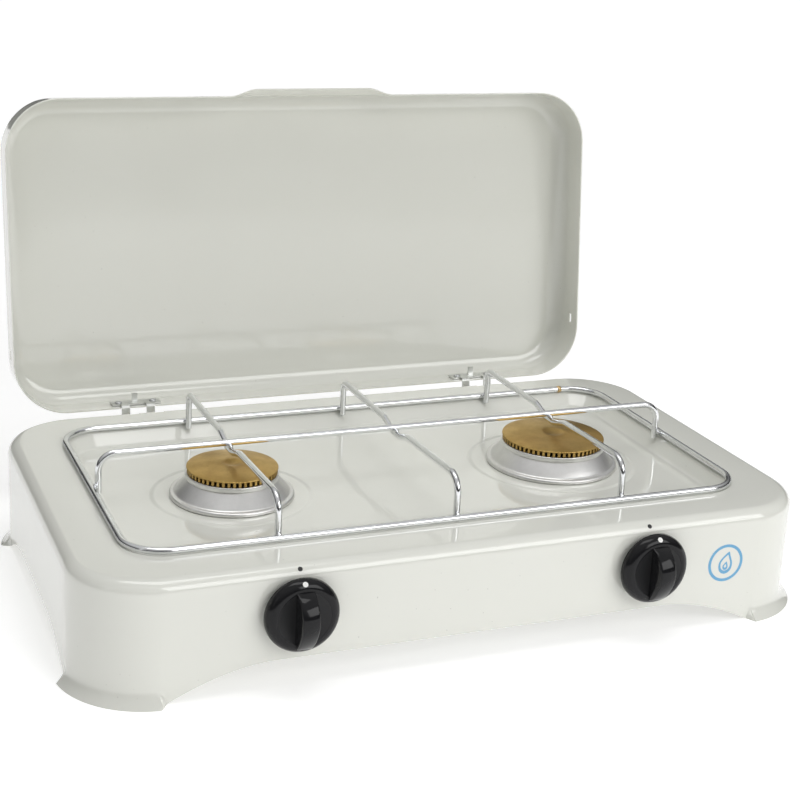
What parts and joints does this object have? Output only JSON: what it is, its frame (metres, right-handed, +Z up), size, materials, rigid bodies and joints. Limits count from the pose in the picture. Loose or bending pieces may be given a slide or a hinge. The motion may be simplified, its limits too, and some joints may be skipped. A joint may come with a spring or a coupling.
{
  "type": "camping stove",
  "caption": "Low table-top gas camping stove in white enamel with a lift-up lid, round burners, a chromed wire pan support and black front knobs.",
  "frame": {"origin": "on the ground under the middle of the pan support", "axes": "+Z up, the front panel with the knobs faces -Y, +X to the right seen from the front"},
  "size_m": [0.4812, 0.3736, 0.2902],
  "materials": {
    "white_enamel": "glossy baked enamel",
    "chromed_wire": "bright plated wire",
    "cast_aluminium": "cast and turned",
    "brass": "machined, slightly dulled",
    "zinc_steel": "zinc plated",
    "zinc_plate": "zinc plated stamping",
    "black_plastic": "moulded, shiny"
  },
  "bodies": {
    "stove": {"body_shell": "white_enamel", "bracket_rivet_left_a": "zinc_steel", "bracket_rivet_left_b": "zinc_steel", "bracket_rivet_right_a": "zinc_steel", "bracket_rivet_right_b": "zinc_steel", "burner_base_left": "cast_aluminium", "burner_base_right": "cast_aluminium", "burner_nut_left": "zinc_steel", "burner_nut_right": "zinc_steel", "gas_jet_left": "brass", "gas_jet_right": "brass", "gas_rail": "zinc_steel", "gas_tap_left": "brass", "gas_tap_right": "brass", "hinge_bracket_left": "zinc_plate", "hinge_bracket_right": "zinc_plate", "hinge_pin_left": "zinc_steel", "hinge_pin_right": "zinc_steel", "hose_inlet": "brass", "inlet_nut": "brass", "mixing_tube_left": "zinc_steel", "mixing_tube_right": "zinc_steel", "tap_nut_left": "zinc_steel", "tap_nut_right": "zinc_steel"},
    "lid": {"lid": "white_enamel", "hinge_plate_left": "zinc_plate", "lid_rivet_left_inner": "zinc_steel", "lid_rivet_left_outer": "zinc_steel", "hinge_plate_right": "zinc_plate", "lid_rivet_right_inner": "zinc_steel", "lid_rivet_right_outer": "zinc_steel"},
    "pan_support": {"frame_wire": "chromed_wire", "transverse_wire": "chromed_wire", "cross_wire_left": "chromed_wire", "cross_wire_middle": "chromed_wire", "cross_wire_right": "chromed_wire"},
    "cap_left": {"burner_cap_left": "brass"},
    "plug_left": {"tap_plug_left": "brass"},
    "knob_left": {"knob_left": "black_plastic", "tap_spindle_left": "zinc_steel"},
    "cap_right": {"burner_cap_right": "brass"},
    "plug_right": {"tap_plug_right": "brass"},
    "knob_right": {"knob_right": "black_plastic", "tap_spindle_right": "zinc_steel"}
  },
  "joints": [
    {"name": "lid_hinge", "type": "hinge", "parent": "stove", "child": "lid", "pos_m": [0, 0.1317, 0.0501], "axis": [1, 0, 0], "range_deg": [0, 96.5]},
    {"name": "pan_support_lift", "type": "slide", "parent": "stove", "child": "pan_support", "axis": [0, 0, -1], "range_m": [-0.15, 0]},
    {"name": "cap_lift_left", "type": "slide", "parent": "stove", "child": "cap_left", "axis": [0, 0, 1], "range_m": [0, 0.0035]},
    {"name": "tap_turn_left", "type": "hinge", "parent": "stove", "child": "plug_left", "pos_m": [-0.1123, -0.12, 0.0467], "axis": [0, -1, 0], "range_deg": [0, 210]},
    {"name": "knob_push_left", "type": "slide", "parent": "plug_left", "child": "knob_left", "axis": [0, 1, 0], "range_m": [0, 0.003], "stiffness_N_per_m": 2000, "springref_m": -0.002},
    {"name": "cap_lift_right", "type": "slide", "parent": "stove", "child": "cap_right", "axis": [0, 0, 1], "range_m": [0, 0.0035]},
    {"name": "tap_turn_right", "type": "hinge", "parent": "stove", "child": "plug_right", "pos_m": [0.1123, -0.12, 0.0467], "axis": [0, -1, 0], "range_deg": [0, 210]},
    {"name": "knob_push_right", "type": "slide", "parent": "plug_right", "child": "knob_right", "axis": [0, 1, 0], "range_m": [0, 0.003], "stiffness_N_per_m": 2000, "springref_m": -0.002}
  ]
}
